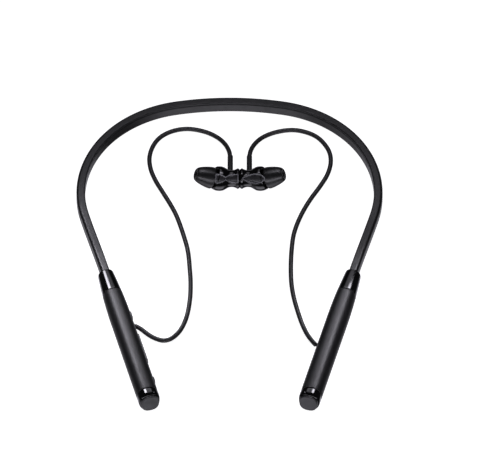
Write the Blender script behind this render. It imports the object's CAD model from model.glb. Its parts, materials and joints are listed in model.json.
# Neckband earphones: a silicone neckband, a control pod, a battery pod and two corded earbuds.
# The code works in millimetres and turns them into metres when a mesh is made.
import json
import math

import bmesh
import bpy
from mathutils import Matrix, Vector


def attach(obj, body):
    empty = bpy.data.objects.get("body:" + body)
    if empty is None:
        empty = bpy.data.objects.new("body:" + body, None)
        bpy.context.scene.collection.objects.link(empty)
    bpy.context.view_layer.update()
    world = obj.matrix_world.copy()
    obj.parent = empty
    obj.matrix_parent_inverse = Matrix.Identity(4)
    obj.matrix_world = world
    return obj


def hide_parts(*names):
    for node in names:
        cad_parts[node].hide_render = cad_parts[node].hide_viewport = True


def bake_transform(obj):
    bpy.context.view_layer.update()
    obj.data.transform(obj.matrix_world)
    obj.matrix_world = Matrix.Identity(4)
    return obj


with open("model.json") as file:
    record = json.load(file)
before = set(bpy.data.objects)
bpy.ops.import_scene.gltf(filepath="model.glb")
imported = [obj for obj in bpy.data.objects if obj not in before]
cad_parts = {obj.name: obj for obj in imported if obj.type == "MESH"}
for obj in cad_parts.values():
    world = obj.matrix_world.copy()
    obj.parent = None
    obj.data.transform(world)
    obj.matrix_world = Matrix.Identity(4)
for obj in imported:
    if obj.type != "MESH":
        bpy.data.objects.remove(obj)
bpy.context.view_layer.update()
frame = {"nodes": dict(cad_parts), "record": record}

MM = 0.001
DEG = math.pi / 180
SIDES = {"left": -1, "right": 1}

# ---------------------------------------------------------------- studio values
CAMERA_TARGET = (10.8, 17.9, 6.0)
CAMERA_ELEVATION = 48 * DEG
CAMERA_DISTANCE, CAMERA_VIEW_WIDTH, CAMERA_SENSOR = 8.0, 0.2632, 36
ROOM_LEVEL = 0.02
LIGHT_TINT = (0.97, 0.95, 1.05)
# one strip light over each pod, along its length; x is for the right one, in metres
STRIP_TARGET = (0.053, -0.058, 0.012)
STRIP_TOWARD = (0.299, 0.590, 0.749)
STRIP_ALONG = (0.25, 0.97, 0.0)
STRIP_LEVEL = {"left": 3.5, "right": 2.7}
STRIP_LENGTH = {"left": 0.12, "right": 0.098}
STRIP_SHIFT = {"left": 0.006, "right": -0.012}
STRIP_WIDTH, STRIP_DISTANCE, STRIP_SPREAD = 0.055, 0.17, 40 * DEG
# the strip over the earbuds
TOP_TARGET, TOP_TOWARD, TOP_SIZE = (0.005, 0.058, 0.008), (0.0, 0.26, 0.966), (0.05, 0.34)
TOP_DISTANCE, TOP_POWER, TOP_SPREAD = 0.2, 0.05, 75 * DEG
# soft panels of the room: direction, half angle, soft edge, level, squeeze in x
ROOM_PANELS = [
    ((0.0, 0.67, 0.74), 9, 9, 1.0, 1.0),
    ((0.0, -0.60, -0.80), 16, 10, 1.5, 0.5),
    ((0.0, -0.99, 0.14), 7, 5, 4.5, 0.08),
    ((0.0, 0.74, -0.67), 30, 12, 0.95, 1.0),
    ((-0.70, 0.05, -0.71), 16, 14, 0.5, 1.0),
]
FLOOR_SIZE, FLOOR_SHADE, FLOOR_GLOW = 9, 0.6, 0.98

# ---------------------------------------------------------------- dimensions, as in the frame
BACK_Y = 106.39
ARCS = [(150, 11 * DEG), (61, 61 * DEG), (65, 104.9 * DEG)]
TOE_IN = 14.9 * DEG
TIP_TO_ARC = 137.3
BAND_THICKNESS, BAND_HEIGHT = 4.6, 7.1
BAND_OUTER_ROUND, BAND_INNER_ROUND = 1.6, 0.7
EASE_LENGTH = 42
POD_AXIS_Z = 6.0
POD_LENGTH = 93.1
BAND_GRIP = 8
POD_HALF = (5.65, 6.15)
NECK_HALF = (4.2, 4.85)
TAPER_LENGTH, TAPER_POWER, SECTION_POWER = 31.8, 1.9, 2.45
WALL = 1.1
TRIM_FRONT, TRIM_BACK = 1.2, 6.0
CAP_HALF, PLUG_HALF, MOUTH_HALF, SOCKET_LIFT = (4.7, 5.2), (2.4, 0.8), (3.9, 1.3), 0.1
SHELL_FRONT, SHELL_BACK = 6.3, 78.35
COLLAR_FRONT = 78.65
SEAM_Z = -3.2
SEAM_GAP = 0.3
# run of skin for one radian, near the seam
SEAM_RUN = 5.9
# steps of the shells' grids along the pod and round it, and where the finer ones lie
ROW_STEP, FINE_ROW_STEP = 1.2, 0.16
ROUND_STEP, EDGE_ROUND_STEP = 0.4, 0.05
FLANK_ROUND_STEP, POCKET_ROUND_STEP = 0.16, 0.13
FLANK_X, FLANK_LOW, FLANK_HIGH = 4.4, -5.4, 2.6
EDGE = 0.22
EDGE_LINES = (0.0, 0.02, 0.06, 0.12, 0.22)
BUTTONS = {
    "function_button": (62.0, 5.4),
    "volume_rocker": (38.15, 20.5),
    "power_button": (15.4, 4.6),
}
BUTTON_HEIGHT, BUTTON_PROUD = 3.6, 0.5
KEY_GAP, KEY_POCKET, KEY_BASE, KEY_EDGE, KEY_CROWN = 0.2, 0.95, 5.33, 0.35, 0.06
# raised marks on each key: along, up, half length, half height
KEY_MARKS = {
    "function_button": [(0.0, 0.0, 0.55, 0.55)],
    "volume_rocker": [(-7.5, 0.0, 0.95, 0.16), (7.5, 0.0, 0.95, 0.16), (7.5, 0.0, 0.16, 0.95)],
    "power_button": [(0.0, 0.0, 0.2, 0.75)],
}
LIGHT_AT, LIGHT_RADIUS, LIGHT_SUNK = 22.4, 0.78, 0.5
GLAND_AT = {"left": 58.8, "right": 43.3}
GLAND_LEAN = {"left": 40 * DEG, "right": -40 * DEG}
GLAND_X, GLAND_Z, GLAND_RADIUS, GLAND_DEPTH, GLAND_REACH = 5.2, -3.7, 1.4, 1.0, 1.2
GLAND_GAP, GLAND_POCKET = 0.12, 0.75
CABLE_RADIUS = 1.22
BUD_CENTRE = Vector((5.42, 50.33, 6.6))
STEM_AT, STEM_RADIUS, STEM_LENGTH, STEM_DROP = 5.05, 1.45, 18.1, 8.3 * DEG
NOZZLE_AT, NOZZLE_TILT, NOZZLE_YAW = 13.4, 25 * DEG, 5 * DEG
NOZZLE_RADIUS, NOZZLE_BORE, NOZZLE_LENGTH = 2.05, 1.4, 8.6
FACE_OFFSET = 0.5
TIP_START, TIP_LENGTH = 1.3, 9.6
PANEL_TURN = 48 * DEG
FLANKS = {"front": 0.0, "rear": math.pi}
HOUSING_SPOKES, HOUSING_ROWS = 288, 150
FACE_ROUND, FACE_ROUND_SHARE = 0.55, 0.8
# the edge of a window falls from WINDOW_RIM outside the outline, past a low bead
WINDOW_RIM, WINDOW_SLOPE, WINDOW_FALL, WINDOW_FLOOR = 0.35, 0.45, 0.42, 0.35
BEAD_AT, BEAD_WIDTH, BEAD_HEIGHT = 0.5, 0.3, 0.12
PANEL_INSET, PANEL_TOP, PANEL_BOTTOM, PANEL_LANES, PANEL_STEP = 0.14, 0.36, 0.66, 17, 0.22
# section of a bezel: outwards from the window's outline, and depth under the skin
BEZEL_SECTION = (
    (-0.06, 0.34), (0.0, 0.2), (0.12, 0.06), (0.26, -0.06), (0.4, -0.1), (0.5, -0.02),
    (0.4, 0.14), (-0.04, 0.5),
)
TIP_RADIUS = 5.8

ROUTES = {"left": [
    (-49.44, -49.98, 2.3), (-48.1, -50.63, 2.25), (-46.0, -52.15, 2.05), (-43.6, -54.3, 1.7),
    (-41.1, -56.3, 1.4),
    (-38.2, -58.0, 1.25), (-35.0, -59.1, 1.2), (-31.8, -58.6, 1.2), (-28.7, -56.2, 1.2),
    (-25.8, -52.1, 1.2), (-23.4, -46.2, 1.2), (-21.8, -39.4, 1.2), (-20.6, -28.8, 1.2),
    (-20.4, -18.0, 1.2), (-20.8, -9.6, 1.2), (-21.8, 3.1, 1.2), (-23.4, 11.6, 1.2),
    (-27.9, 28.6, 1.2), (-31.3, 37.1, 1.2), (-35.3, 45.6, 1.2), (-39.2, 54.1, 1.2),
    (-41.8, 62.6, 1.2), (-42.3, 71.1, 1.2), (-40.0, 79.6, 1.2), (-36.2, 85.2, 1.2),
    (-30.0, 89.2, 1.2), (-22.1, 90.7, 1.2), (-12.6, 88.4, 1.25), (-6.2, 84.0, 1.6),
    (-2.4, 78.8, 2.3), (-0.4, 73.4, 3.2), (0.37, 68.54, 3.95),
], "right": [
    (45.13, -63.09, 2.3), (44.4, -62.0, 2.25), (43.3, -60.2, 2.1), (41.9, -57.6, 1.8),
    (40.7, -54.9, 1.4),
    (39.6, -52.0, 1.25), (37.8, -46.5, 1.2), (35.2, -36.0, 1.2), (33.4, -26.6, 1.2),
    (32.5, -18.1, 1.2), (32.3, -5.4, 1.2), (32.9, 7.4, 1.2), (33.9, 15.9, 1.2),
    (36.1, 24.4, 1.2), (39.2, 32.9, 1.2), (43.2, 41.4, 1.2), (47.9, 49.9, 1.2),
    (51.8, 58.4, 1.2), (53.5, 66.9, 1.2), (52.8, 74.0, 1.2), (50.0, 80.2, 1.2),
    (46.3, 84.8, 1.2), (40.8, 88.2, 1.2), (33.4, 89.9, 1.2), (24.5, 88.3, 1.25),
    (17.4, 84.2, 1.6), (13.3, 78.9, 2.3), (11.2, 73.4, 3.2), (10.47, 68.54, 3.95),
]}


# ---------------------------------------------------------------- node trees
class Nodes:
    """Adds nodes to a tree and links them."""

    def __init__(self, tree):
        self.tree = tree

    def add(self, kind, **values):
        node = self.tree.nodes.new(kind)
        for key, value in values.items():
            setattr(node, key, value)
        return node

    def link(self, source, target):
        self.tree.links.new(source, target)

    def combine(self, operation, first, second):
        node = self.add("ShaderNodeMath", operation=operation)
        for socket, value in zip(node.inputs, (first, second)):
            if isinstance(value, (int, float)):
                socket.default_value = value
            else:
                self.link(value, socket)
        return node.outputs[0]

    def vector(self, operation, first, second=None):
        node = self.add("ShaderNodeVectorMath", operation=operation)
        self.link(first, node.inputs[0])
        if second is not None:
            node.inputs[1].default_value = second
        return node


# ---------------------------------------------------------------- camera and studio
def make_camera():
    data = bpy.data.cameras.new("camera")
    data.sensor_width = CAMERA_SENSOR
    data.lens = CAMERA_SENSOR * CAMERA_DISTANCE / CAMERA_VIEW_WIDTH
    data.clip_end = 60
    camera = bpy.data.objects.new("camera", data)
    bpy.context.scene.collection.objects.link(camera)
    back = Vector((0, -math.cos(CAMERA_ELEVATION), math.sin(CAMERA_ELEVATION)))
    camera.location = Vector(CAMERA_TARGET) * MM + back * CAMERA_DISTANCE
    camera.rotation_euler = (-back).to_track_quat("-Z", "Y").to_euler()
    bpy.context.scene.camera = camera


def softbox(name, target, toward, distance, along, size, power, spread):
    """A strip light facing target from a distance; its long side follows the direction along."""
    back = Vector(toward).normalized()
    length = (along - back * along.dot(back)).normalized()
    data = bpy.data.lights.new(name, "AREA")
    data.shape = "RECTANGLE"
    data.size, data.size_y = size
    data.energy = power
    data.spread = spread
    data.color = LIGHT_TINT
    light = bpy.data.objects.new(name, data)
    light.visible_camera = False
    bpy.context.scene.collection.objects.link(light)
    turn = Matrix((length.cross(back), length, back)).transposed().to_4x4()
    light.matrix_world = Matrix.Translation(Vector(target) + back * distance) @ turn


def make_world():
    """A dim room whose panels light and reflect; their levels add up."""
    world = bpy.data.worlds.new("studio")
    world.use_nodes = True
    made = Nodes(world.node_tree)
    place = made.add("ShaderNodeTexCoord").outputs["Generated"]
    total = ROOM_LEVEL
    for direction, half, edge, level, squeeze in ROOM_PANELS:
        narrowed = made.vector("MULTIPLY", place, (squeeze, 1, 1)).outputs[0]
        facing = made.vector(
            "DOT_PRODUCT", made.vector("NORMALIZE", narrowed).outputs[0],
            Vector(direction).normalized())
        panel = made.add("ShaderNodeMapRange", interpolation_type="SMOOTHSTEP")
        panel.inputs["From Min"].default_value = math.cos((half + edge) * DEG)
        panel.inputs["From Max"].default_value = math.cos(max(half - edge, 0) * DEG)
        panel.inputs["To Max"].default_value = level
        made.link(facing.outputs["Value"], panel.inputs["Value"])
        total = made.combine("ADD", total, panel.outputs[0])
    background = world.node_tree.nodes["Background"]
    background.inputs["Color"].default_value = (*LIGHT_TINT, 1)
    made.link(total, background.inputs["Strength"])
    bpy.context.scene.world = world


def make_lights():
    for side, sign in SIDES.items():
        toward, along, target = (
            Vector((sign * x, y, z)) for x, y, z in (STRIP_TOWARD, STRIP_ALONG, STRIP_TARGET))
        length = STRIP_LENGTH[side]
        power = STRIP_LEVEL[side] * STRIP_WIDTH * length
        softbox(f"{side}_softbox", target + along * STRIP_SHIFT[side], toward, STRIP_DISTANCE,
                along, (STRIP_WIDTH, length), power, STRIP_SPREAD)
    softbox("top_softbox", TOP_TARGET, TOP_TOWARD, TOP_DISTANCE, Vector((1, 0, 0)), TOP_SIZE,
            TOP_POWER, TOP_SPREAD)


def make_floor():
    """A pale floor with its own glow, so that it stays even and takes only a faint shadow."""
    bpy.ops.mesh.primitive_plane_add(size=FLOOR_SIZE, location=(0, 0, 0))
    floor = bpy.context.object
    floor.name = "floor"
    floor.visible_glossy = False
    material = bpy.data.materials.new("floor")
    material.use_nodes = True
    shader = material.node_tree.nodes["Principled BSDF"]
    shader.inputs["Base Color"].default_value = (FLOOR_SHADE, FLOOR_SHADE, FLOOR_SHADE, 1)
    shader.inputs["Roughness"].default_value = 1.0
    shader.inputs["Specular IOR Level"].default_value = 0.0
    shader.inputs["Emission Color"].default_value = (1, 1, 1, 1)
    shader.inputs["Emission Strength"].default_value = FLOOR_GLOW
    floor.data.materials.append(material)


def make_studio():
    make_world()
    make_lights()
    make_floor()
    settings = bpy.context.scene.view_settings
    settings.view_transform = "Standard"
    settings.look = "None"


# ---------------------------------------------------------------- materials
class Finish(Nodes):
    """A node material under construction, in object space with lengths in metres."""

    def __init__(self, name, **values):
        self.material = bpy.data.materials.new(name)
        self.material.use_nodes = True
        super().__init__(self.material.node_tree)
        self.shader = self.tree.nodes["Principled BSDF"]
        self.place = self.add("ShaderNodeTexCoord").outputs["Object"]
        for socket, value in values.items():
            self.shader.inputs[socket.replace("_", " ")].default_value = value

    def stretched(self, scale, turn=0.0):
        mapping = self.add("ShaderNodeMapping")
        mapping.inputs["Scale"].default_value = scale
        mapping.inputs["Rotation"].default_value = (0, 0, turn)
        self.link(self.place, mapping.inputs["Vector"])
        return mapping.outputs[0]

    def noise(self, size, detail=2.0, place=None, rough=0.5):
        node = self.add("ShaderNodeTexNoise")
        node.inputs["Scale"].default_value = 1 / size
        node.inputs["Detail"].default_value = detail
        node.inputs["Roughness"].default_value = rough
        self.link(place or self.place, node.inputs["Vector"])
        return node.outputs["Fac"]

    def cells(self, size, feature="F1", place=None):
        node = self.add("ShaderNodeTexVoronoi", feature=feature)
        node.inputs["Scale"].default_value = 1 / size
        self.link(place or self.place, node.inputs["Vector"])
        return node.outputs["Distance"]

    def remap(self, value, low, high, to_low=0.0, to_high=1.0):
        node = self.add("ShaderNodeMapRange")
        for socket, number in zip(("From Min", "From Max", "To Min", "To Max"),
                                  (low, high, to_low, to_high)):
            node.inputs[socket].default_value = number
        self.link(value, node.inputs["Value"])
        return node.outputs[0]

    def colour(self, factor, *stops):
        ramp = self.add("ShaderNodeValToRGB")
        elements = ramp.color_ramp.elements
        while len(elements) < len(stops):
            elements.new(0.5)
        for element, (position, shade) in zip(elements, stops):
            element.position = position
            element.color = (*shade, 1)
        self.link(factor, ramp.inputs[0])
        return ramp.outputs[0]

    def base(self, colour):
        self.link(colour, self.shader.inputs["Base Color"])

    def roughness(self, value):
        self.link(value, self.shader.inputs["Roughness"])

    def bump(self, *layers):
        """Each layer is (height, depth in metres, strength)."""
        before = None
        for height, depth, strength in layers:
            node = self.add("ShaderNodeBump")
            node.inputs["Distance"].default_value = depth
            node.inputs["Strength"].default_value = strength
            self.link(height, node.inputs["Height"])
            if before is not None:
                self.link(before, node.inputs["Normal"])
            before = node.outputs[0]
        self.link(before, self.shader.inputs["Normal"])


def grey(level, blue=1.08):
    return (level, level, level * blue)


def moulded(name, low, high, rough, spread, grain, depth, **values):
    """Moulded plastic or rubber: broad colour drift, a fine grain, and faint handling marks."""
    made = Finish(name, **values)
    drift = made.noise(0.009, 3)
    fine = made.noise(grain, 2)
    speck = made.cells(grain * 1.7)
    made.base(made.colour(drift, (0.35, grey(low)), (0.65, grey(high))))
    marks = made.noise(0.0035, 4, rough=0.65)
    made.roughness(made.combine(
        "ADD",
        made.remap(marks, 0.35, 0.7, rough - spread, rough + spread),
        made.remap(fine, 0.3, 0.7, -spread / 2, spread / 2),
    ))
    made.bump((speck, depth, 0.35), (fine, depth * 0.6, 0.35))
    return made.material


def gloss(name, low, high, rough, **values):
    """Polished plastic: clear coat, slow moulding ripple, hairline scuffs and a little dust."""
    made = Finish(name, **values)
    drift = made.noise(0.006, 2)
    dust = made.remap(made.cells(0.0011), 0.06, 0.02)
    tint = made.colour(drift, (0.3, grey(low)), (0.7, grey(high)))
    mix = made.add("ShaderNodeMix", data_type="RGBA")
    made.link(made.combine("MULTIPLY", dust, 0.35), mix.inputs["Factor"])
    made.link(tint, mix.inputs["A"])
    mix.inputs["B"].default_value = (0.05, 0.05, 0.05, 1)
    made.base(mix.outputs["Result"])
    scuffs = made.noise(0.0006, 3, made.stretched((1, 0.08, 1), 0.6))
    made.roughness(made.combine(
        "ADD", made.remap(scuffs, 0.45, 0.75, rough, rough + 0.09), made.remap(dust, 0, 1, 0, 0.2)))
    ripple = made.noise(0.004, 1)
    made.bump((ripple, 0.00003, 0.25), (scuffs, 0.000002, 0.3))
    return made.material


def metal(name, dark, light, rough, direction):
    """Bare metal with grinding lines along one direction."""
    made = Finish(name, Metallic=1.0)
    lines = made.noise(0.00012, 3, made.stretched(direction))
    blotch = made.noise(0.002, 2)
    made.base(made.colour(
        made.combine("ADD", made.remap(lines, 0, 1, 0, 0.6), made.remap(blotch, 0, 1, 0, 0.4)),
        (0.3, dark), (0.7, light)))
    made.roughness(made.remap(lines, 0.3, 0.7, rough - 0.08, rough + 0.1))
    made.bump((lines, 0.000006, 0.4))
    return made.material


def circuit_board():
    """Solder mask over copper tracks, with tinned pads."""
    made = Finish("circuit_board", Coat_Weight=0.3, Coat_Roughness=0.25)
    track = made.add("ShaderNodeTexBrick")
    track.offset, track.squash = 0.37, 1.6
    track.inputs["Scale"].default_value = 260
    track.inputs["Mortar Size"].default_value = 0.035
    track.inputs["Mortar Smooth"].default_value = 0.2
    made.link(made.stretched((1, 1, 1), 0.26), track.inputs["Vector"])
    pads = made.remap(made.cells(0.0016), 0.24, 0.2)
    mask = made.colour(
        track.outputs["Fac"], (0.3, (0.006, 0.045, 0.016)), (0.7, (0.012, 0.09, 0.03)))
    mix = made.add("ShaderNodeMix", data_type="RGBA")
    made.link(pads, mix.inputs["Factor"])
    made.link(mask, mix.inputs["A"])
    mix.inputs["B"].default_value = (0.62, 0.52, 0.3, 1)
    made.base(mix.outputs["Result"])
    made.link(pads, made.shader.inputs["Metallic"])
    made.roughness(made.remap(made.noise(0.0007, 3), 0.3, 0.7, 0.3, 0.45))
    made.bump((track.outputs["Fac"], 0.00003, 0.5), (pads, 0.00003, 0.5))
    return made.material


def cell_wrap():
    """Shrink sleeve drawn tight over the cell, with a few wrinkles and a lighter overlap."""
    made = Finish("cell_wrap", Coat_Weight=0.4, Coat_Roughness=0.2)
    wrinkles = made.noise(0.0022, 3, made.stretched((1, 0.25, 1), 0.26))
    made.base(made.colour(wrinkles, (0.3, (0.02, 0.09, 0.26)), (0.7, (0.035, 0.14, 0.36))))
    made.roughness(made.remap(wrinkles, 0.3, 0.7, 0.28, 0.42))
    made.bump((wrinkles, 0.00012, 0.5))
    return made.material


def light_lens():
    """Milky light guide with a frosted face."""
    made = Finish("light_lens", Subsurface_Weight=0.3, Subsurface_Radius=(0.0006, 0.0006, 0.0006))
    haze = made.noise(0.0004, 3)
    made.base(made.colour(haze, (0.3, (0.6, 0.61, 0.63)), (0.7, (0.78, 0.79, 0.8))))
    made.roughness(made.remap(haze, 0.3, 0.7, 0.25, 0.4))
    made.bump((haze, 0.00001, 0.3))
    return made.material


def make_materials():
    """One material for each slot of the record, and the bezels' own."""
    faint_sheen = {"Sheen_Weight": 0.02, "Sheen_Roughness": 0.4}
    rubber_sheen = {"Sheen_Weight": 0.08, "Sheen_Roughness": 0.5}
    key_coat = {"Coat_Weight": 0.2, "Coat_Roughness": 0.12}
    bud_coat = {"Coat_Weight": 0.2, "Coat_Roughness": 0.03}
    trim_coat = {"Coat_Weight": 0.1, "Coat_Roughness": 0.03}
    # darkest and lightest grey, roughness and its spread, size and depth of the grain
    moulded_kinds = {
        "band_silicone": (0.004, 0.0055, 0.42, 0.05, 0.00016, 0.00002, faint_sheen),
        "pod_plastic": (0.004, 0.0055, 0.47, 0.03, 0.00013, 0.000012, {}),
        "cap_plastic": (0.018, 0.025, 0.5, 0.05, 0.00018, 0.00003, {}),
        "cover_rubber": (0.014, 0.026, 0.58, 0.08, 0.00022, 0.00005, rubber_sheen),
        "button_plastic": (0.005, 0.007, 0.24, 0.04, 0.0002, 0.000006, key_coat),
        "cable_jacket": (0.012, 0.017, 0.46, 0.05, 0.00022, 0.00003, faint_sheen),
        "tip_silicone": (0.0035, 0.005, 0.36, 0.05, 0.0002, 0.000015, faint_sheen),
        "bud_panel": (0.017, 0.023, 0.34, 0.05, 0.00012, 0.00001, {}),
        "bezel": (0.12, 0.16, 0.3, 0.05, 0.00012, 0.00001, {}),
    }
    # darkest and lightest grey, roughness
    gloss_kinds = {
        "gloss_trim": (0.0015, 0.0025, 0.1, trim_coat),
        "bud_gloss": (0.0015, 0.0025, 0.07, bud_coat),
    }
    # darkest and lightest grey, roughness, scale that draws the grinding lines out
    metal_kinds = {
        "bare_metal": ((0.42, 0.43, 0.45), (0.6, 0.61, 0.63), 0.32, (1, 0.06, 1)),
        "magnet_plate": ((0.36, 0.36, 0.38), (0.52, 0.52, 0.54), 0.2, (1, 0.2, 0.2)),
        "shield_can": ((0.5, 0.51, 0.53), (0.68, 0.69, 0.71), 0.36, (0.08, 1, 1)),
    }
    made = {
        "circuit_board": circuit_board(),
        "cell_wrap": cell_wrap(),
        "light_lens": light_lens(),
    }
    for name, (*numbers, values) in moulded_kinds.items():
        made[name] = moulded(name, *numbers, **values)
    for name, (*numbers, values) in gloss_kinds.items():
        made[name] = gloss(name, *numbers, **values)
    for name, numbers in metal_kinds.items():
        made[name] = metal(name, *numbers)
    return made


# ---------------------------------------------------------------- meshes
def make_piece(name, vertices, faces, body, slot, replaces=(), move=None, sharp=None):
    """A smooth-shaded closed mesh, from millimetres in the row frame or in a local frame."""
    mesh = bpy.data.meshes.new(name)
    scale = Matrix.Scale(MM, 4)
    points = [scale @ (move @ Vector(v) if move else Vector(v)) for v in vertices]
    mesh.from_pydata(points, [], faces)
    shape = bmesh.new()
    shape.from_mesh(mesh)
    bmesh.ops.recalc_face_normals(shape, faces=shape.faces)
    shape.to_mesh(mesh)
    shape.free()
    mesh.polygons.foreach_set("use_smooth", [True] * len(mesh.polygons))
    if sharp:
        mesh.set_sharp_from_angle(angle=sharp * DEG)
    mesh.materials.append(MATERIALS[slot])
    piece = bpy.data.objects.new(name, mesh)
    bpy.context.scene.collection.objects.link(piece)
    if body:
        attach(piece, body)
    if replaces:
        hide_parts(*replaces)
    return piece


def bridge(rings, count, closed=False):
    """Quads between consecutive rings of count points, each ring a closed loop."""
    faces = []
    for r in range(rings if closed else rings - 1):
        a, b = r * count, ((r + 1) % rings) * count
        for i in range(count):
            j = (i + 1) % count
            faces.append((a + i, a + j, b + j, b + i))
    return faces


def lofted(rings):
    """Vertices and faces of a loft through closed rings, with flat ends."""
    count = len(rings[0])
    last = (len(rings) - 1) * count
    faces = bridge(len(rings), count)
    faces.append(tuple(range(count)))
    faces.append(tuple(last + i for i in reversed(range(count))))
    return [point for ring in rings for point in ring], faces


def looped(rings):
    """Vertices and faces of a loft whose last ring joins its first."""
    return [p for ring in rings for p in ring], bridge(len(rings), len(rings[0]), True)


def turned_rings(outline, segments):
    """One ring about the local Y axis for each (radius, height) pair."""
    angles = [2 * math.pi * i / segments for i in range(segments)]
    return [
        [(radius * math.cos(a), height, radius * math.sin(a)) for a in angles]
        for radius, height in outline
    ]


def revolved(outline, segments=56):
    """Turns (radius, height) pairs about the local Y axis; both ends lie on the axis."""
    rings = turned_rings(outline[1:-1], segments)
    vertices = [p for ring in rings for p in ring]
    faces = bridge(len(rings), segments)
    for pole, ring in ((outline[0], 0), (outline[-1], len(rings) - 1)):
        centre = len(vertices)
        vertices.append((0, pole[1], 0))
        for i in range(segments):
            faces.append((centre, ring * segments + i, ring * segments + (i + 1) % segments))
    return vertices, faces


def walled(outer, inner, rows, columns):
    """A sheet of rows by columns points with a second one behind it, closed at its edges."""
    size = len(outer)
    faces = []
    for r in range(rows - 1):
        for i in range(columns - 1):
            a = r * columns + i
            b = a + columns
            faces.append((a, a + 1, b + 1, b))
            faces.append((size + a, size + b, size + b + 1, size + a + 1))
    for r in range(rows - 1):
        for a in (r * columns, (r + 1) * columns - 1):
            b = a + columns
            faces.append((a, b, size + b, size + a))
    for r in (0, rows - 1):
        for a in range(r * columns, (r + 1) * columns - 1):
            faces.append((a, a + 1, size + a + 1, size + a))
    return outer + inner, faces


def signed_power(value, power):
    return math.copysign(abs(value) ** power, value)


def squared_ring(at, wide, tall, power, lift=0.0, count=120):
    """A ring across the local Y axis; a power under 1 squares it."""
    ring = []
    for i in range(count):
        angle = 2 * math.pi * (i + 0.5) / count
        ring.append(Vector((
            wide * signed_power(math.cos(angle), power), at,
            lift + tall * signed_power(math.sin(angle), power))))
    return ring


def revolved_ring(outline, segments):
    """Turns a closed outline of (radius, height) pairs about the local Y axis."""
    return looped(turned_rings(outline, segments))


def softened(outline, radius, steps=4, closed=True):
    """Rounds the corners of a 2D outline with short curves."""
    made = []
    count = len(outline)
    for i, corner in enumerate(outline):
        if not closed and i in (0, count - 1):
            made.append(corner)
            continue
        corner = Vector(corner)
        before = Vector(outline[i - 1]) - corner
        after = Vector(outline[(i + 1) % count]) - corner
        reach = min(radius, before.length * 0.45, after.length * 0.45)
        start = corner + before.normalized() * reach
        end = corner + after.normalized() * reach
        for k in range(steps + 1):
            t = k / steps
            made.append(tuple(start * (1 - t) ** 2 + corner * 2 * t * (1 - t) + end * t * t))
    return made


def smooth(value, low, high):
    t = min(max((value - low) / (high - low), 0.0), 1.0)
    return t * t * (3 - 2 * t)


def spaced(low, high, step):
    count = max(1, round((high - low) / step))
    return [low + (high - low) * i / count for i in range(count + 1)]


# ---------------------------------------------------------------- neckband
class Centreline:
    """The neckband's line, by distance from the middle of the back."""

    def __init__(self):
        self.arc_length = 0
        heading = 0
        for radius, end in ARCS:
            self.arc_length += radius * (end - heading)
            heading = end

    def side(self, distance):
        heading, x, y, left = 0.0, 0.0, BACK_Y, distance
        for radius, limit in ARCS:
            end = heading + min(left / radius, limit - heading)
            x += radius * (math.sin(end) - math.sin(heading))
            y += radius * (math.cos(end) - math.cos(heading))
            left -= radius * (end - heading)
            heading = end
            if heading < limit:
                break
        run = max(0.0, distance - self.arc_length)
        x += run * math.cos(heading)
        y -= run * math.sin(heading)
        eased = smooth(run, 0, EASE_LENGTH)
        return Vector((x, y, BAND_HEIGHT / 2 + (POD_AXIS_Z - BAND_HEIGHT / 2) * eased))

    def at(self, along):
        place = self.side(abs(along))
        return Vector((-place.x if along < 0 else place.x, place.y, place.z))


LINE = Centreline()


def band_outline():
    """Section as (outwards, up), with the parting groove round the inner face."""
    half, tall = BAND_THICKNESS / 2, BAND_HEIGHT / 2
    points = []

    def arc(cx, cz, radius, start, steps=10):
        for k in range(steps + 1):
            a = (start + 90 * k / steps) * DEG
            points.append((cx + radius * math.cos(a), cz + radius * math.sin(a)))

    outer, inner = BAND_OUTER_ROUND, BAND_INNER_ROUND
    arc(half - outer, tall - outer, outer, 0)
    points.extend((x, tall) for x in (0.3, -0.6))
    arc(-half + inner, tall - inner, inner, 90, 8)
    groove_top = tall - inner - 0.25
    points.extend([
        (-half, groove_top), (-half + 0.05, groove_top - 0.05), (-half + 0.3, groove_top - 0.12),
        (-half + 0.3, groove_top - 0.26), (-half + 0.05, groove_top - 0.33),
        (-half, groove_top - 0.38),
    ])
    points.extend((-half, z) for z in (1.4, 0.5, -0.5, -1.4, -2.2))
    arc(-half + inner, -tall + inner, inner, 180, 8)
    points.extend((x, -tall) for x in (-0.6, 0.3))
    arc(half - outer, -tall + outer, outer, 270)
    points.extend((half, z) for z in (-1.0, 0.0, 1.0))
    return points


def make_band():
    half = LINE.arc_length + TIP_TO_ARC - POD_LENGTH + BAND_GRIP
    outline = band_outline()
    rings = []
    for along in spaced(-half, half, 1.1):
        ahead, behind = LINE.at(along + 0.05), LINE.at(along - 0.05)
        tangent = (ahead - behind).normalized()
        out = Vector((-tangent.y, tangent.x, 0)).normalized()
        up = tangent.cross(out)
        centre = LINE.at(along)
        rings.append([centre + out * x + up * z for x, z in outline])
    vertices, faces = lofted(rings)
    make_piece("neckband", vertices, faces, "root", "band_silicone", ["neckband_sleeve"], sharp=50)


# ---------------------------------------------------------------- cables
def catmull_rom(points, steps):
    """Centripetal spline through the points."""
    extended = [points[0] * 2 - points[1], *points, points[-1] * 2 - points[-2]]
    made = []
    for i in range(1, len(extended) - 2):
        p0, p1, p2, p3 = extended[i - 1:i + 3]
        d0, d1, d2 = [max(math.sqrt((b - a).length), 1e-4) for a, b in
                      ((p0, p1), (p1, p2), (p2, p3))]
        m1 = ((p1 - p0) / d0 - (p2 - p0) / (d0 + d1) + (p2 - p1) / d1) * d1
        m2 = ((p2 - p1) / d1 - (p3 - p1) / (d1 + d2) + (p3 - p2) / d2) * d1
        for k in range(steps):
            t = k / steps
            made.append(
                p1 * (2 * t ** 3 - 3 * t * t + 1) + m1 * (t ** 3 - 2 * t * t + t)
                + p2 * (-2 * t ** 3 + 3 * t * t) + m2 * (t ** 3 - t * t))
    made.append(points[-1])
    return made


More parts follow.
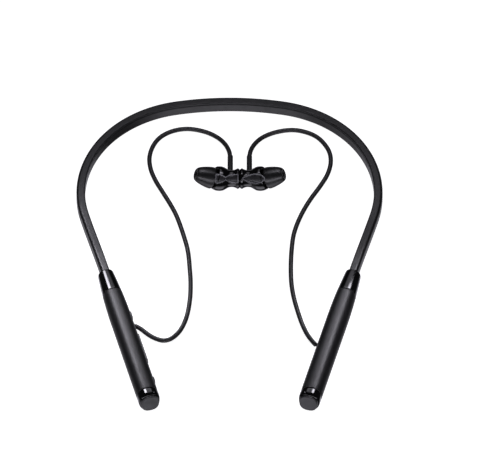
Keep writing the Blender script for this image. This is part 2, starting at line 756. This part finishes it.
def running_length(points):
    total = [0.0]
    for a, b in zip(points, points[1:]):
        total.append(total[-1] + (b - a).length)
    return total


def resampled(points, spacing):
    """The path at even steps, and its length."""
    total = running_length(points)
    count = round(total[-1] / spacing)
    made, i = [], 0
    for k in range(count + 1):
        goal = total[-1] * k / count
        while i < len(points) - 2 and total[i + 1] < goal:
            i += 1
        share = (goal - total[i]) / (total[i + 1] - total[i])
        made.append(points[i].lerp(points[i + 1], share))
    return made, total[-1]


def tube(path, radius, sides=28):
    """Rings along a path, carried without twist."""
    rings = []
    tangent = (path[1] - path[0]).normalized()
    across = tangent.orthogonal().normalized()
    for i, centre in enumerate(path):
        turned = (path[min(i + 1, len(path) - 1)] - path[max(i - 1, 0)]).normalized()
        across = tangent.rotation_difference(turned) @ across
        tangent = turned
        other = tangent.cross(across)
        rings.append([
            centre + (across * math.cos(a) + other * math.sin(a)) * radius
            for a in (2 * math.pi * k / sides for k in range(sides))
        ])
    return rings


def make_cable(side):
    """The cable follows its earbud over the stretch between its two blend places."""
    path, length = resampled(catmull_rom([Vector(p) for p in ROUTES[side]], 24), 0.8)
    vertices, faces = lofted(tube(path, CABLE_RADIUS))
    piece = make_piece(
        f"{side}_cord", vertices, faces, None, "cable_jacket", [f"{side}_cable"])
    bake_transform(piece)


# ---------------------------------------------------------------- pods
def pod_frame(side):
    tip = LINE.side(LINE.arc_length + TIP_TO_ARC)
    sign = SIDES[side]
    turn = Matrix.Rotation(-sign * TOE_IN, 4, "Z")
    flip = Matrix.Diagonal((-sign, 1, 1, 1))
    return Matrix.Translation((sign * tip.x, tip.y, POD_AXIS_Z)) @ turn @ flip


def pod_half(at):
    full = 1 - (1 - min((POD_LENGTH - at) / TAPER_LENGTH, 1)) ** TAPER_POWER
    return [neck + (pod - neck) * full for neck, pod in zip(NECK_HALF, POD_HALF)]


def pod_point(angle, at):
    """Place on the pod's skin; x is inwards, to the other pod, and z is up from the axis."""
    wide, tall = pod_half(at)
    power = 2 / SECTION_POWER
    return Vector((wide * signed_power(math.cos(angle), power), at,
                   max(tall * signed_power(math.sin(angle), power), -POD_AXIS_Z)))


def pod_normal(angle, at):
    """Outward direction of the section; the taper is gentle enough to leave out."""
    step = 0.002
    along = pod_point(angle + step, at) - pod_point(angle - step, at)
    if along.length < 1e-9:
        return Vector((0, 0, -1))
    return Vector((along.z, 0, -along.x)).normalized()


def stadium(at, z, centre, half_length, half_height):
    """Signed distance from a stadium on the inner flank, negative inside."""
    run = max(abs(at - centre) - (half_length - half_height), 0)
    return math.hypot(run, z) - half_height


def edge_drop(distance, radius):
    """How far a rounded edge has fallen at a distance from it."""
    if distance >= radius:
        return 0.0
    return radius - math.sqrt(max(radius ** 2 - (radius - distance) ** 2, 0))


def lines_between(low, high, fine, step, fine_step):
    """Grid lines from low to high, close together in the fine stretches and at both edges."""
    lines = [low + e for e in EDGE_LINES] + [high - e for e in EDGE_LINES]
    marks = [low + EDGE_LINES[-1]]
    for start, end in sorted(fine):
        start, end = max(start, low + 0.3), min(end, high - 0.3)
        if end > start:
            marks += [start, end]
    marks.append(high - EDGE_LINES[-1])
    for k, (a, b) in enumerate(zip(marks, marks[1:])):
        if b > a:
            lines += spaced(a, b, fine_step if k % 2 else step)
    return sorted(set(round(v, 5) for v in lines))


def shell_pockets(side):
    """Signed distance functions of what is let into the pod's inner flank, with their depth."""
    pockets = []
    if side == "left":
        for centre, length in BUTTONS.values():
            pockets.append((
                lambda at, z, c=centre, h=length / 2: stadium(
                    at, z, c, h + KEY_GAP, BUTTON_HEIGHT / 2 + KEY_GAP), KEY_POCKET))
        pockets.append((lambda at, z: math.hypot(at - LIGHT_AT, z) - LIGHT_RADIUS, LIGHT_SUNK))
    gland, squeeze = GLAND_AT[side], math.cos(GLAND_LEAN[side])
    pockets.append((lambda at, z: math.hypot(
        (at - gland) * squeeze, z - GLAND_Z) - GLAND_RADIUS - GLAND_GAP, GLAND_POCKET))
    return pockets


def make_shell(side, half):
    """The upper or lower shell, as a closed wall with rounded edges and let-in pockets."""
    upper = half == "upper"
    edge_z = SEAM_Z + (SEAM_GAP if upper else -SEAM_GAP) * 0.35
    at_edge = math.asin(-((abs(edge_z) / POD_HALF[1]) ** (SECTION_POWER / 2)))
    low, high = (at_edge, math.pi - at_edge) if upper else (-math.pi - at_edge, at_edge)
    pockets = shell_pockets(side)
    fine = [(GLAND_AT[side], 2.6)]
    if side == "left":
        fine += [(centre, length / 2 + 0.5) for centre, length in BUTTONS.values()]
        fine.append((LIGHT_AT, 1.1))
    fine_rows = [(centre - reach, centre + reach) for centre, reach in fine]
    rows = lines_between(SHELL_FRONT, SHELL_BACK, merged(fine_rows), ROW_STEP, FINE_ROW_STEP)
    angles = angle_lines(low, high, upper, side)
    outer, inner = [], []
    for at in rows:
        end = min(at - SHELL_FRONT, SHELL_BACK - at)
        for angle in angles:
            point = pod_point(angle, at)
            normal = pod_normal(angle, at)
            seam = min(abs(angle - low), abs(high - angle)) * SEAM_RUN
            drop = edge_drop(end, EDGE) + edge_drop(seam, EDGE)
            if point.x > 0 and normal.x > 0.2:
                for distance, depth in pockets:
                    gap = distance(at, point.z)
                    drop = max(drop, depth * smooth(-gap, -0.04, 0.14))
            outer.append(point - normal * min(drop, 1.0))
            inner.append(point - normal * WALL)
    vertices, faces = walled(outer, inner, len(rows), len(angles))
    make_piece(
        f"{side}_{half}_skin", vertices, faces, "root", "pod_plastic",
        [f"{side}_{half}_shell"], pod_frame(side), sharp=60)


def merged(spans):
    """The same stretches with those that overlap joined."""
    made = []
    for low, high in sorted(spans):
        if made and low <= made[-1][1]:
            made[-1] = (made[-1][0], max(high, made[-1][1]))
        else:
            made.append((low, high))
    return made


def angle_lines(low, high, upper, side):
    """Angles round the section: even by arc length, finer on the inner flank."""
    samples = spaced(low, high, 0.002)
    points = [pod_point(a, 20.0) for a in samples]
    length = running_length(points)
    flank_step = POCKET_ROUND_STEP if upper and side == "left" else FLANK_ROUND_STEP
    chosen = []
    target = 0.0
    for angle, place, run in zip(samples, points, length):
        if run >= target or angle == samples[-1]:
            chosen.append(angle)
            on_flank = place.x > FLANK_X and FLANK_LOW < place.z < FLANK_HIGH
            near_edge = min(run, length[-1] - run) < 0.3
            step = flank_step if on_flank else ROUND_STEP
            target = run + (EDGE_ROUND_STEP if near_edge else step)
    return chosen


def pod_ring(at, half, floor=POD_AXIS_Z):
    """A ring of the pod's section, cut flat at floor below the axis."""
    ring = squared_ring(at, *half, 2 / SECTION_POWER)
    for point in ring:
        point.z = max(point.z, -floor)
    return ring


def inset_ring(at, inset):
    wide, tall = pod_half(at)
    return pod_ring(at, (wide - inset, tall - inset), POD_AXIS_Z - inset)


def band_ring(at, gap):
    """The mouth that the neckband goes into, point for point with the pod's own ring."""
    return squared_ring(at, BAND_THICKNESS / 2 + gap, BAND_HEIGHT / 2 + gap, 0.4)


def make_collar(side):
    """Gloss sleeve over the shells' end, with a rolled lip and the neckband's mouth."""
    lip, lip_steps = 0.55, 7
    rings = [inset_ring(COLLAR_FRONT + e, edge_drop(e, EDGE)) for e in EDGE_LINES]
    rings += [inset_ring(at, 0) for at in spaced(COLLAR_FRONT + 0.8, POD_LENGTH - 0.75, 0.8)]
    for k in range(1, lip_steps + 1):
        a = 90 * DEG * k / lip_steps
        rings.append(inset_ring(POD_LENGTH - lip + lip * math.sin(a), lip * (1 - math.cos(a))))
    rings += [
        band_ring(POD_LENGTH, 0.22),
        band_ring(POD_LENGTH - 0.08, 0.12),
        band_ring(POD_LENGTH - BAND_GRIP - 0.4, 0.12),
        inset_ring(COLLAR_FRONT + 0.6, WALL + 0.4),
        inset_ring(COLLAR_FRONT, WALL + 0.4),
    ]
    vertices, faces = looped(rings)
    make_piece(
        f"{side}_neck_collar", vertices, faces, "root", "gloss_trim",
        [f"{side}_collar"], pod_frame(side), sharp=55)


def make_trim(side):
    """Gloss ring at the pod's tip, rounded over towards the socket's mouth in its end."""
    round_length, round_depth, round_steps = 2.1, 0.95, 12
    rings = [inset_ring(TRIM_BACK - e, edge_drop(e, EDGE)) for e in EDGE_LINES]
    rings += [inset_ring(at, 0) for at in (5.2, 4.5, 3.9, 3.4)]
    for k in range(1, round_steps + 1):
        a = 90 * DEG * k / round_steps
        rings.append(inset_ring(
            TRIM_FRONT + round_length * (1 - math.sin(a)), round_depth * (1 - math.cos(a))))
    for inset in (1.15, 1.35):
        rings.append(inset_ring(TRIM_FRONT + (inset - round_depth) * 0.1, inset))
    for depth, grow in ((0.04, 0.12), (0.16, 0.0), (1.0, 0.0)):
        rings.append(squared_ring(
            TRIM_FRONT + depth, MOUTH_HALF[0] + grow, MOUTH_HALF[1] + grow, 0.35, SOCKET_LIFT))
    rings.append(inset_ring(TRIM_FRONT + 1.3, WALL + 0.6))
    rings.append(inset_ring(TRIM_BACK, WALL))
    vertices, faces = looped(rings)
    make_piece(
        f"{side}_tip_trim", vertices, faces, "root", "gloss_trim",
        [f"{side}_end_trim"], pod_frame(side), sharp=55)


def make_cap(side):
    """Cap over the pod's end: a rounded plate with a fine shoulder, and the plug behind it."""
    plate = [
        (0.9, 0.35), (0.9, 0.06), (0.84, 0.0), (0.4, 0.0), (0.3, 0.02), (0.16, 0.1),
        (0.06, 0.22), (0.015, 0.36), (0.0, 0.55), (0.03, 0.75), (0.05, 0.95), (0.05, 1.6),
        (0.04, 2.6), (0.02, 3.6),
    ]
    rings = [
        squared_ring(at, PLUG_HALF[0] + grow, PLUG_HALF[1] + grow, 0.4, SOCKET_LIFT)
        for at, grow in ((3.0, -0.3), (2.85, 0.0), (0.9, 0.0))
    ]
    rings += [pod_ring(at, (CAP_HALF[0] - inset, CAP_HALF[1] - inset)) for at, inset in plate]
    vertices, faces = lofted(rings)
    if side == "left":
        name, body, slot, node = "socket_cover", "usb_cover", "cover_rubber", "usb_cover"
    else:
        name, body, slot, node = "battery_pod_cap", "root", "cap_plastic", "right_end_cap"
    make_piece(name, vertices, faces, body, slot, [node], pod_frame(side), sharp=55)


def make_button(name):
    """A stadium-shaped key with a rounded, slightly crowned top and its raised marks."""
    centre, length = BUTTONS[name]
    half_height = BUTTON_HEIGHT / 2
    half_run = length / 2 - half_height
    face = POD_HALF[0] + BUTTON_PROUD

    def ring(x, inset, steps=24):
        made = []
        for end, start in ((1, -90), (-1, 90)):
            for k in range(steps + 1):
                a = (start + 180 * k / steps) * DEG
                made.append(Vector((
                    x, centre + end * half_run + (half_height - inset) * math.cos(a),
                    (half_height - inset) * math.sin(a))))
        return made

    rings = [
        ring(KEY_BASE, KEY_EDGE), ring(KEY_BASE, 0.05), ring(KEY_BASE + 0.12, 0.0),
        ring(face - KEY_EDGE, 0.0),
    ]
    for k in range(1, 7):
        a = 90 * DEG * k / 6
        rings.append(ring(
            face - KEY_EDGE + KEY_EDGE * math.sin(a), KEY_EDGE * (1 - math.cos(a))))
    for inset in (0.6, 0.9, 1.3):
        rings.append(ring(face + KEY_CROWN * (inset - KEY_EDGE), inset))
    vertices, faces = lofted(rings)
    make_piece(
        f"{name}_key", vertices, faces, name, "button_plastic", [name], pod_frame("left"),
        sharp=60)
    top = face + 0.055
    for k, (along, up, half_a, half_b) in enumerate(KEY_MARKS[name]):
        raised = [
            [Vector((x, centre + along + (half_a - inset) * sx, up + (half_b - inset) * sz))
             for sx, sz in capsule_outline(half_a, half_b)]
            for x, inset in ((top - 0.1, 0), (top + 0.05, 0), (top + 0.1, 0.05))
        ]
        vertices, faces = lofted(raised)
        make_piece(
            f"{name}_mark_{k + 1}", vertices, faces, name, "button_plastic", (),
            pod_frame("left"), sharp=50)


def capsule_outline(half_a, half_b, count=32):
    """Unit outline of a bar or a dot with round ends."""
    power = 1.0 if half_a == half_b else 0.5
    return [
        (signed_power(math.cos(a), power), signed_power(math.sin(a), power))
        for a in (2 * math.pi * k / count for k in range(count))
    ]


def gland_frame(side):
    """The strain relief's own axis runs out of the pod along +Y."""
    turn = Matrix.Rotation(-(90 * DEG + GLAND_LEAN[side]), 4, "Z")
    return pod_frame(side) @ Matrix.Translation((GLAND_X, GLAND_AT[side], GLAND_Z)) @ turn


def make_gland(side):
    """Strain relief: a slanted boot let into the shell, with a ring groove round it."""
    radius, reach = GLAND_RADIUS, GLAND_REACH
    outline = softened([
        (0.0, -GLAND_DEPTH), (radius, -GLAND_DEPTH), (radius, 0.3), (radius - 0.1, 0.38),
        (radius - 0.1, 0.52), (radius, 0.6), (radius - 0.02, reach - 0.2), (radius - 0.1, reach),
        (1.27, reach), (1.2, reach - 0.15), (0.0, reach - 0.15),
    ], 0.08, 3, closed=False)
    vertices, faces = revolved(outline)
    make_piece(
        f"{side}_strain_relief", vertices, faces, "root", "cable_jacket",
        [f"{side}_cable_gland"], gland_frame(side), sharp=60)


# ---------------------------------------------------------------- earbuds
def housing_outline():
    """Waisted outline of the housing as (radius, distance from the seam)."""
    knots = [
        (4.7, 0.0), (5.1, 0.26), (5.45, 0.85), (5.45, 1.35), (5.08, 1.95), (4.62, 3.2),
        (4.5, 4.3), (4.75, 5.9), (5.6, 7.4), (6.27, 8.7), (6.52, 9.8), (6.58, 10.8),
        (6.5, 12.0), (6.2, 13.2), (5.5, 14.6), (4.5, 16.2),
    ]
    path = catmull_rom([Vector((r, d, 0)) for r, d in knots], 10)
    return [(p.x, p.y) for p in path]


def nozzle_direction(outward):
    level = math.cos(NOZZLE_TILT)
    return Vector((outward * level * math.cos(NOZZLE_YAW), -level * math.sin(NOZZLE_YAW),
                   math.sin(NOZZLE_TILT)))


def bud_frame():
    return Matrix.Translation(BUD_CENTRE)


def branch_frame(distance, direction):
    """Frame of a part that leaves the bud's axis with its own Y axis in the direction."""
    turn = Vector((0, 1, 0)).rotation_difference(direction).to_matrix().to_4x4()
    return bud_frame() @ Matrix.Translation((distance, 0, 0)) @ turn


def nozzle_frame(outward):
    return branch_frame(outward * NOZZLE_AT, nozzle_direction(outward))


def stem_frame(outward):
    direction = Vector((0, math.cos(STEM_DROP), -math.sin(STEM_DROP)))
    return branch_frame(outward * STEM_AT, direction)


def polygon_distance(point, polygon):
    """Signed distance from a closed polygon, negative inside."""
    x, y = point
    best, inside = 1e9, False
    for (ax, ay), (bx, by) in zip(polygon, polygon[1:] + polygon[:1]):
        dx, dy = bx - ax, by - ay
        t = ((x - ax) * dx + (y - ay) * dy) / max(dx * dx + dy * dy, 1e-12)
        t = min(max(t, 0.0), 1.0)
        best = min(best, (x - ax - t * dx) ** 2 + (y - ay - t * dy) ** 2)
        if (ay > y) != (by > y) and x < (bx - ax) * (y - ay) / (by - ay) + ax:
            inside = not inside
    return -math.sqrt(best) if inside else math.sqrt(best)


def quadratic(a, b, c, steps=10):
    return [
        tuple(Vector(a) * (1 - t) ** 2 + Vector(b) * 2 * t * (1 - t) + Vector(c) * t * t)
        for t in (k / steps for k in range(steps))
    ]


def panel_polygon(side):
    """Outline of a side panel: distance outwards, and distance across."""
    if side == "right":
        upper = quadratic((1.5, 0), (9.6, 4.6), (13.0, 0), 16)
        return upper + quadratic((13.0, 0), (9.6, -4.6), (1.5, 0), 16)
    half, pinch = 2.05, 0.3
    return (
        [(1.2, -half)]
        + quadratic((1.2, half), (5.6, half), (7.6, pinch))
        + quadratic((7.6, pinch), (9.2, half), (12.4, half))
        + [(12.4, half)]
        + quadratic((12.4, -half), (9.2, -half), (7.6, -pinch))
        + quadratic((7.6, -pinch), (5.6, -half), (1.2, -half))
    )


def skin_place(side, distance, radius, angle):
    """Bud-frame place; angle 0 faces the front panel and grows about the bud's axis."""
    turned = angle + PANEL_TURN
    return Vector((SIDES[side] * distance, -radius * math.cos(turned), radius * math.sin(turned)))


def flank_place(side, outline, distance, across, depth, turned):
    """Place at a depth under the skin, by its distance across the flank that faces turned."""
    radius = radius_at(outline, distance)
    angle = math.asin(max(-0.95, min(0.95, across / radius)))
    return skin_place(side, distance, radius - depth, turned + angle)


def cut_column(side, outline, angle, face_centre, direction):
    """The skin's line at an angle, from the seam to the slanted face that the ear tip is on."""
    column = []
    for radius, distance in outline:
        place = skin_place(side, distance, radius, angle)
        height = (place - face_centre).dot(direction)
        if height > 0:
            column.append(column[-1].lerp(place, before / (before - height)))
            break
        column.append(place)
        before = height
    return column


def window_gap(distance, radius, angle, polygon):
    """Signed distance from the nearer window's outline, negative inside it."""
    if abs(math.sin(angle)) > 0.95:
        return 9.0
    across = radius * math.sin(angle if math.cos(angle) > 0 else angle - math.pi)
    return polygon_distance((distance, across), polygon)


def housing_drop(gap, from_face, distance):
    """How far the skin falls at a window's edge and at the rounded edge of the face."""
    chamfer = min(max((WINDOW_RIM - gap) / WINDOW_SLOPE, 0.0), 1.0)
    bead = math.exp(-((gap - BEAD_AT) / BEAD_WIDTH) ** 2) * smooth(distance, 0.6, 1.2)
    window = WINDOW_FALL * chamfer + WINDOW_FLOOR * smooth(-gap, 0.1, 0.2) - BEAD_HEIGHT * bead
    rounded = edge_drop(max(from_face, 0), FACE_ROUND) * FACE_ROUND_SHARE
    return rounded + window * smooth(from_face, 0.3, 0.7)


def make_housing(side, outline, polygon):
    """From inside the seam's mouth, along the waisted skin and in over the slanted face."""
    direction = nozzle_direction(SIDES[side])
    face_centre = Vector((SIDES[side] * NOZZLE_AT, 0, 0)) + direction * FACE_OFFSET
    angles = [2 * math.pi * s / HOUSING_SPOKES for s in range(HOUSING_SPOKES)]
    rings = [
        [skin_place(side, distance, radius, angle) for angle in angles]
        for radius, distance in ((0.6, 2.6), (3.85, 2.6), (3.88, 0.1), (3.98, 0.0))
    ]
    columns = [cut_column(side, outline, angle, face_centre, direction) for angle in angles]
    for r in range(HOUSING_ROWS):
        ring = []
        for angle, column in zip(angles, columns):
            position = (len(column) - 1) * r / (HOUSING_ROWS - 1)
            index = min(int(position), len(column) - 2)
            place = column[index].lerp(column[index + 1], position - index)
            distance, radius = SIDES[side] * place.x, math.hypot(place.y, place.z)
            gap = window_gap(distance, radius, angle, polygon)
            from_face = (face_centre - place).dot(direction)
            inwards = Vector((0, -place.y, -place.z)).normalized()
            ring.append(place + inwards * housing_drop(gap, from_face, distance))
        rings.append(ring)
    rim = rings[-1]
    for share in (0.06, 0.2, 0.5, 0.8, 1.0):
        ring = []
        for point in rim:
            spoke = point - face_centre
            rise = direction * spoke.dot(direction)
            flat = spoke - rise
            goal = face_centre + flat.normalized() * (NOZZLE_RADIUS + 0.35)
            ring.append((face_centre + flat).lerp(goal, share) + rise * (1 - share))
        rings.append(ring)
    vertices, faces = lofted(rings)
    make_piece(
        f"{side}_housing", vertices, faces, f"{side}_bud", "bud_gloss", [f"{side}_bud_housing"],
        bud_frame(), sharp=50)


def make_panels(side, outline, polygon):
    """Satin panels let into both sides of the housing."""
    low, high = min(p[0] for p in polygon), max(p[0] for p in polygon)
    columns = spaced(low + 0.12, high - 0.12, PANEL_STEP)
    for face, turned in FLANKS.items():
        top, bottom = [], []
        for distance in columns:
            half = max(max(crossings(polygon, distance)) - PANEL_INSET, 0.03)
            for k in range(PANEL_LANES):
                across = half * (2 * k / (PANEL_LANES - 1) - 1)
                edge = min(half - abs(across), distance - low, high - distance)
                depth = PANEL_TOP + edge_drop(max(edge, 0), 0.1)
                top.append(flank_place(side, outline, distance, across, depth, turned))
                bottom.append(flank_place(side, outline, distance, across, PANEL_BOTTOM, turned))
        vertices, faces = walled(top, bottom, len(columns), PANEL_LANES)
        make_piece(
            f"{side}_{face}_inlay", vertices, faces, f"{side}_bud", "bud_panel",
            [f"{side}_bud_{face}_panel"], bud_frame(), sharp=50)


def make_bezels(side, outline, polygon):
    """Satin frame lying on the chamfer round each panel, with its own lighter material."""
    corners = [Vector(p) for p in polygon]
    loop = []
    for a, b in zip(corners, corners[1:] + corners[:1]):
        steps = max(1, round((b - a).length / PANEL_STEP))
        loop += [a.lerp(b, k / steps) for k in range(steps)]
    around = math.copysign(1, sum(a.cross(b) for a, b in zip(loop, loop[1:] + loop[:1])))
    for face, turned in FLANKS.items():
        rings = []
        for before, point, after in zip(loop[-1:] + loop, loop, loop[1:] + loop[:1]):
            along = after - before
            outwards = Vector((along.y, -along.x)).normalized() * around
            ring = []
            for offset, depth in BEZEL_SECTION:
                place = point + outwards * offset
                ring.append(flank_place(side, outline, place.x, place.y, depth, turned))
            rings.append(ring)
        vertices, faces = looped(rings)
        bezel = make_piece(
            f"{side}_{face}_bezel", vertices, faces, f"{side}_bud", "bud_panel",
            (), bud_frame(), sharp=60)
        bezel.data.materials[0] = MATERIALS["bezel"]


def crossings(polygon, x):
    """Heights at which the polygon's sides cross a line across it."""
    found = []
    for (ax, ay), (bx, by) in zip(polygon, polygon[1:] + polygon[:1]):
        if (ax - x) * (bx - x) <= 0 and ax != bx:
            found.append(ay + (by - ay) * (x - ax) / (bx - ax))
    return found


def radius_at(outline, distance):
    """The housing's radius at a distance from the seam."""
    for (ra, da), (rb, db) in zip(outline, outline[1:]):
        if da <= distance <= db:
            return ra + (rb - ra) * (distance - da) / (db - da)
    return outline[-1][0]


def make_nozzle(side):
    """Flanged tube with a barb that holds the ear tip."""
    neck, length = NOZZLE_RADIUS, NOZZLE_LENGTH
    outline = softened([
        (NOZZLE_BORE, -0.4), (4.2, -0.4), (4.2, 0.45), (neck + 0.45, 0.5), (neck, 0.95),
        (neck, length - 1.5), (neck + 0.18, length - 1.1), (neck + 0.1, length - 0.5),
        (neck - 0.15, length), (NOZZLE_BORE + 0.35, length), (NOZZLE_BORE + 0.35, length - 0.7),
        (NOZZLE_BORE, length - 0.8),
    ], 0.12, 3)
    vertices, faces = revolved_ring(outline, 64)
    make_piece(
        f"{side}_nozzle_tube", vertices, faces, f"{side}_bud", "bud_gloss",
        [f"{side}_bud_nozzle"], nozzle_frame(SIDES[side]), sharp=50)


def make_ear_tip(side):
    """Hollow cap: its core sits on the nozzle and its skirt folds back over the core."""
    front = TIP_START + TIP_LENGTH
    stop, sleeve = NOZZLE_LENGTH + 0.3, NOZZLE_RADIUS + 0.3
    outline = softened([
        (1.3, front - 0.15), (1.3, stop), (sleeve, stop), (sleeve, 2.4),
        (3.0, 2.4), (3.1, 8.2), (4.2, 6.2), (4.95, 3.6), (5.2, TIP_START + 0.1),
        (5.5, TIP_START - 0.02), (TIP_RADIUS, TIP_START + 0.15), (5.78, 2.4), (5.66, 3.4),
        (5.5, 4.4), (5.1, 6.2), (4.6, 8.0), (4.1, 9.3), (3.6, 10.25), (3.15, 10.72), (2.8, front),
        (2.45, front - 0.02), (2.1, front - 0.2), (1.7, front - 0.15),
    ], 0.22, 4)
    vertices, faces = revolved_ring(outline, 80)
    make_piece(
        f"{side}_silicone_tip", vertices, faces, f"{side}_ear_tip", "tip_silicone",
        [f"{side}_ear_tip"], nozzle_frame(SIDES[side]), sharp=60)


def make_stem(side):
    """Straight rubber stem, with a thin cuff over the cable's end."""
    cuff, reach = CABLE_RADIUS + 0.05, STEM_LENGTH + 0.5
    outline = softened([
        (0.0, 2.4), (STEM_RADIUS, 2.4), (STEM_RADIUS, STEM_LENGTH), (cuff + 0.1, reach),
        (cuff, reach), (cuff, STEM_LENGTH - 0.05), (0.0, STEM_LENGTH - 0.05),
    ], 0.05, 3, closed=False)
    vertices, faces = revolved(outline)
    make_piece(
        f"{side}_stem", vertices, faces, f"{side}_bud", "cable_jacket",
        [f"{side}_bud_stem"], stem_frame(SIDES[side]), sharp=60)


def make_bud(side):
    outline = housing_outline()
    polygon = panel_polygon(side)
    make_housing(side, outline, polygon)
    make_panels(side, outline, polygon)
    make_bezels(side, outline, polygon)
    make_nozzle(side)
    make_ear_tip(side)
    make_stem(side)


# ---------------------------------------------------------------- the whole set
make_camera()
make_studio()
MATERIALS = make_materials()
for side in SIDES:
    make_cable(side)
make_band()
for side in SIDES:
    make_shell(side, "upper")
    make_shell(side, "lower")
    make_collar(side)
    make_trim(side)
    make_cap(side)
    make_gland(side)
    make_bud(side)
for button in BUTTONS:
    make_button(button)

slots = {part["node"]: part["material_slot"] for part in frame["record"]["subparts"]}
for name, node in frame["nodes"].items():
    for material_slot in node.material_slots:
        material_slot.material = MATERIALS[slots[name]]
